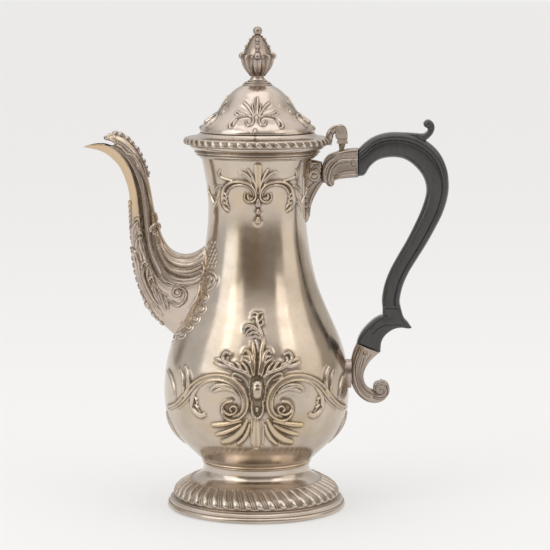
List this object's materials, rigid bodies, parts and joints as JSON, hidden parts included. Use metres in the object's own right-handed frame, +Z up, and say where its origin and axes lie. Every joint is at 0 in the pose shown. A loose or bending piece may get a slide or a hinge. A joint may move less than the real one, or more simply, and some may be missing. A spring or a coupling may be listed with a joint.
{
  "type": "coffee pot",
  "caption": "Tall baluster silver coffee pot on a spreading foot, with a leaf-capped spout, hinged domed lid, flower finial and a black wood scroll handle.",
  "frame": {"origin": "in the plane the pot stands on, under the middle of its overall length and width; the pot's own axis stands 5.36 mm from it towards -X", "axes": "+Z up along the pot's axis, +X towards the handle, -X towards the spout, +Y away from a viewer who sees the spout on the left"},
  "size_m": [0.2114, 0.108, 0.28],
  "materials": {
    "black_wood": "black stained hardwood, satin",
    "silver_body": "worn silver, softly polished, faint tarnish in the chased relief",
    "silver_border": "worn silver, dark tarnish between the lobes",
    "silver_finial": "worn silver, yellow-brown tarnish between the leaves",
    "silver_foot": "worn silver, softly polished",
    "silver_hinge": "worn silver, lightly scratched",
    "silver_lid": "worn silver, tarnish in the chased relief",
    "silver_moulding": "worn silver, softly polished",
    "silver_socket": "worn silver, tarnish in the recesses",
    "silver_spout": "worn silver, tarnish in the flutes"
  },
  "bodies": {
    "pot": {"body_shell": "silver_body", "foot_collar_wire": "silver_moulding", "foot_gadroon_border": "silver_border", "foot_rim_wire": "silver_moulding", "foot_shell": "silver_foot", "hinge_pin": "silver_hinge", "hinge_post": "silver_hinge", "lower_handle_pin": "silver_hinge", "lower_handle_socket": "silver_socket", "lower_socket_pad": "silver_socket", "mouth_rim_moulding": "silver_moulding", "spout_crest_beads": "silver_border", "spout_left_half": "silver_spout", "spout_right_half": "silver_spout", "upper_handle_pin": "silver_hinge", "upper_handle_socket": "silver_socket", "upper_socket_bracket": "silver_socket", "wood_handle": "black_wood"},
    "lid": {"finial": "silver_finial", "finial_nut": "silver_hinge", "finial_plinth": "silver_moulding", "lid_bezel": "silver_moulding", "lid_dome": "silver_lid", "lid_gadroon_border": "silver_border", "lid_hinge_strap": "silver_hinge"}
  },
  "joints": [
    {"name": "lid_hinge", "type": "hinge", "parent": "pot", "child": "lid", "pos_m": [0.04254, 0, 0.2204], "axis": [0, 1, 0], "range_deg": [0, 100]}
  ]
}
